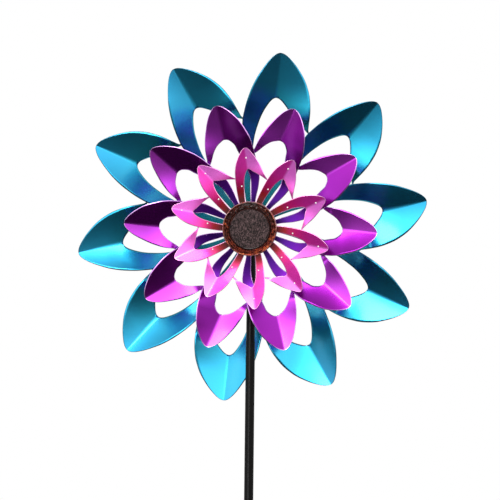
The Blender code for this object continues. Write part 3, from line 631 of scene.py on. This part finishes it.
def dome(bm, foot, height):
    """A lamp's clear cap with a small collar, standing forward from the sheet."""
    profile = [(LAMP_R, -LAMP_FOOT), (LAMP_R, -0.0002), (LAMP_R * 0.92, 0.0)]
    for i in range(1, LAMP_RISES + 1):
        turn = math.pi / 2 * i / LAMP_RISES
        profile.append((LAMP_R * 0.9 * max(0.02, math.cos(turn)), height * math.sin(turn)))
    rings = lathe(bm, [(r, f - foot.y) for r, f in profile], LAMP_STEPS, (foot.x, foot.z))
    bm.faces.new(rings[0])
    bm.faces.new(rings[-1])


def lamps(look, lead_look):
    """Two lamps on each front petal, with a lead behind each petal and a ring by the hub."""
    caps = bmesh.new()
    leads = bmesh.new()
    plane = -(TIERS["front"]["forward"] + SEAT) + LEAD_BACK
    for index in range(PETALS):
        turn = math.radians(TIERS["front"]["turn"] + index * 360.0 / PETALS)
        for out, side in LAMP_PLACES:
            dome(caps, on_front(out, side, turn), SHEET / 2 + LAMP_PROUD)
        path = []
        for low, high in zip(LEAD_ROUTE, LEAD_ROUTE[1:]):
            for share in LEAD_SHARES:
                out = low[0] + (high[0] - low[0]) * share
                path.append(on_front(out, low[1] + (high[1] - low[1]) * share, turn, LEAD_BACK))
        angle = math.atan2(path[0].x, path[0].z - AXLE_HEIGHT)
        root = Vector((LEAD_RING_R * math.sin(angle), plane,
                       AXLE_HEIGHT + LEAD_RING_R * math.cos(angle)))
        ribbon(leads, [root, *path], *LEAD_HALF)
    lathe(leads, [(LEAD_RING_R - LEAD_HALF[0], -plane), (LEAD_RING_R, -plane + LEAD_HALF[1]),
                  (LEAD_RING_R + LEAD_HALF[0], -plane), (LEAD_RING_R, -plane - LEAD_HALF[1]),
                  (LEAD_RING_R - LEAD_HALF[0], -plane)], LEAD_RING_STEPS, (0.0, AXLE_HEIGHT))
    bmesh.ops.remove_doubles(leads, verts=leads.verts, dist=1e-7)
    piece("lamp_caps", to_mesh(caps, "lamp_caps"), look, "front_rotor", "lamp_wire",
          "led_harness")
    piece("lamp_leads", to_mesh(leads, "lamp_leads"), lead_look, "front_rotor", "lamp_wire",
          "led_harness")


# ------------------------------------------------------------ studio
# Brightness by the height of a direction, from straight down (-1) to straight up (1).
SKY = [(-1.0, 0.015), (-0.6, 0.02), (-0.28, 0.05), (-0.12, 0.12), (-0.03, 0.26), (0.06, 0.5),
       (0.16, 0.85), (0.25, 1.0), (0.40, 0.85), (0.59, 0.5), (0.8, 0.33), (1.0, 0.25)]
SKY_STRENGTH = 2.4
POLE_LIT = 1.1                  # height of the pole's part in the picture
LIGHTS = (                      # name, place, width, watts, height aimed at
    ("key", (-0.3, -3.0, AXLE_HEIGHT + 1.5), 1.3, 40.0, AXLE_HEIGHT),
    ("strip", (-2.0, -2.3, AXLE_HEIGHT - 0.3), 0.35, 3.0, AXLE_HEIGHT),
    ("pole_strip", (-1.3, -2.7, POLE_LIT), 0.16, 50.0, POLE_LIT),
)
STRIP_HEIGHT = 2.4
FLOOR_R = 0.9
FLOOR_GAP = 0.001


def studio():
    """A room that is brightest a little over the horizon, before a white background."""
    scene = bpy.context.scene
    scene.view_settings.view_transform = "Standard"
    world = bpy.data.worlds.new("studio")
    scene.world = world
    world.use_nodes = True
    tree = world.node_tree
    back = tree.nodes["Background"]
    coord = tree.nodes.new("ShaderNodeTexCoord")
    split = tree.nodes.new("ShaderNodeSeparateXYZ")
    tree.links.new(coord.outputs["Generated"], split.inputs[0])
    height = tree.nodes.new("ShaderNodeMapRange")
    height.inputs[1].default_value = -1.0
    tree.links.new(split.outputs["Z"], height.inputs[0])
    ramp = tree.nodes.new("ShaderNodeValToRGB")
    elements = ramp.color_ramp.elements
    while len(elements) < len(SKY):
        elements.new(0.5)
    for element, (z, level) in zip(elements, SKY):
        element.position = (z + 1.0) / 2
        element.color = (level, level, level, 1.0)
    tree.links.new(height.outputs[0], ramp.inputs[0])
    path = tree.nodes.new("ShaderNodeLightPath")
    choose = tree.nodes.new("ShaderNodeMix")
    choose.data_type = "RGBA"
    tree.links.new(path.outputs["Is Camera Ray"], choose.inputs[0])
    tree.links.new(ramp.outputs[0], choose.inputs[6])
    choose.inputs[7].default_value = (1.0, 1.0, 1.0, 1.0)
    tree.links.new(choose.outputs[2], back.inputs["Color"])
    glow = tree.nodes.new("ShaderNodeMapRange")
    tree.links.new(path.outputs["Is Camera Ray"], glow.inputs[0])
    glow.inputs[3].default_value = SKY_STRENGTH
    glow.inputs[4].default_value = 1.0
    tree.links.new(glow.outputs[0], back.inputs["Strength"])

    for name, place, width, watts, aim_height in LIGHTS:
        light = bpy.data.lights.new(name, "AREA")
        light.shape = "DISK"
        light.size = width
        light.energy = watts
        made = bpy.data.objects.new(name, light)
        made.location = place
        towards = Vector((0.0, 0.0, aim_height)) - Vector(place)
        made.rotation_euler = towards.to_track_quat("-Z", "Y").to_euler()
        made.visible_camera = False
        scene.collection.objects.link(made)
    for name in ("strip", "pole_strip"):
        strip = bpy.data.lights[name]
        strip.shape = "RECTANGLE"
        strip.size_y = STRIP_HEIGHT

    # The pole strip lights the pole's tubes and nothing else.
    tubes = bpy.data.collections.new("pole_parts")
    for node in ("head_stem", "pole_upper", "pole_middle", "pole_lower"):
        tubes.objects.link(frame["nodes"][node])
    bpy.data.objects["pole_strip"].light_linking.receiver_collection = tubes

    bm = bmesh.new()
    bmesh.ops.create_circle(bm, cap_ends=True, segments=96, radius=FLOOR_R)
    floor_mesh = bpy.data.meshes.new("floor")
    bm.to_mesh(floor_mesh)
    bm.free()
    floor = bpy.data.objects.new("floor", floor_mesh)
    floor.location.z = cad_box[0][2] - FLOOR_GAP
    scene.collection.objects.link(floor)
    nodes = Nodes("pale_floor")
    nodes.set(Base_Color=(0.8, 0.8, 0.8, 1.0), Roughness=0.7)
    floor_mesh.materials.append(nodes.material)


SENSOR_WIDTH = 36.0
CAMERA_AZIMUTH = 2.5            # degrees, as the two below
CAMERA_RISE = 2.0
CAMERA_ROLL = 0.65
CAMERA_DISTANCE = 8.0
VIEW_WIDTH = 0.8535             # metres that the picture spans at the hub's front
AIM = (0.0014, 0.0, -0.0362)     # the picture's middle, from the axle at the hub's front


def camera():
    scene = bpy.context.scene
    data = bpy.data.cameras.new("camera")
    made = bpy.data.objects.new("camera", data)
    data.sensor_width = SENSOR_WIDTH
    data.lens = SENSOR_WIDTH * CAMERA_DISTANCE / VIEW_WIDTH
    azimuth, rise = math.radians(CAMERA_AZIMUTH), math.radians(CAMERA_RISE)
    away = Vector((math.sin(azimuth) * math.cos(rise), -math.cos(azimuth) * math.cos(rise),
                   math.sin(rise)))
    front = -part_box("bezel_ring")[0][1]
    target = Vector((AIM[0], -front, AXLE_HEIGHT + AIM[2]))
    made.location = target + away * CAMERA_DISTANCE
    roll = Quaternion((0.0, 0.0, 1.0), math.radians(CAMERA_ROLL))
    made.rotation_euler = ((-away).to_track_quat("-Z", "Y") @ roll).to_euler()
    scene.collection.objects.link(made)
    scene.camera = made


# ------------------------------------------------------------ build
# Lacquer colours by distance from the axle, as a share of the ring's tip radius.
TEAL = [(0.10, (0.006, 0.34, 0.37)), (0.45, (0.008, 0.44, 0.50)), (0.66, (0.012, 0.42, 0.56)),
        (0.80, (0.016, 0.38, 0.60)), (1.0, (0.020, 0.39, 0.66))]
PURPLE = [(0.15, (0.035, 0.006, 0.17)), (0.34, (0.17, 0.020, 0.55)), (0.50, (0.30, 0.030, 0.66)),
          (0.66, (0.47, 0.042, 0.62)), (1.0, (0.55, 0.055, 0.66))]
PINK = [(0.33, (0.08, 0.001, 0.001)), (0.44, (0.42, 0.004, 0.02)), (0.58, (0.94, 0.070, 0.45)),
        (0.76, (1.0, 0.18, 0.82)), (1.0, (1.0, 0.20, 0.88))]

# Each lacquer also gets the colour of the band along the cut edge (a pale painted highlight on purple and pink,
# darker on teal) and a multiplier for the arm half's painted shade.
petals("back",
       lacquer("teal_look", "back", TEAL, (0.003, 0.10, 0.16), (0.7, 0.75, 0.8)),
       "teal_lacquer")
petals("middle",
       lacquer("purple_look", "middle", PURPLE, (0.85, 0.45, 0.95), (0.42, 0.08, 0.42),
               coat=0.25),
       "purple_lacquer")
petals("front",
       lacquer("pink_look", "front", PINK, (1.0, 0.45, 0.80), (0.80, 0.14, 0.52), metallic=0.7),
       "pink_lacquer")

CAD_SHARP = 30.0                # degrees
looks = {
    "black_paint": black_paint(),
    "black_plastic": black_plastic(),
    "zinc_steel": zinc(),
    "bronze_bezel": bronze(),
    "solar_cell": solar_cell(),
    "circuit_board": simple("board_look", (0.01, 0.10, 0.04), (0.02, 0.17, 0.07), 300.0, 0.45),
    "battery_wrap": simple("cell_look", (0.06, 0.18, 0.07), (0.10, 0.26, 0.10), 200.0, 0.35),
    "lamp_wire": simple("wire_look", (0.80, 0.80, 0.78), (0.95, 0.95, 0.93), 500.0, 0.3),
}
slots = {entry["node"]: entry["material_slot"] for entry in frame["record"]["subparts"]}
bezel(looks["bronze_bezel"])
lamps(simple("lamp_look", (0.86, 0.86, 0.84), (1.0, 1.0, 0.98), 900.0, 0.18),
      looks["lamp_wire"])
for node, made in frame["nodes"].items():
    if slots[node] in looks:
        made.data.materials.clear()
        made.data.materials.append(looks[slots[node]])
        made.data.shade_smooth()
        made.data.set_sharp_from_angle(angle=math.radians(CAD_SHARP))

studio()
camera()
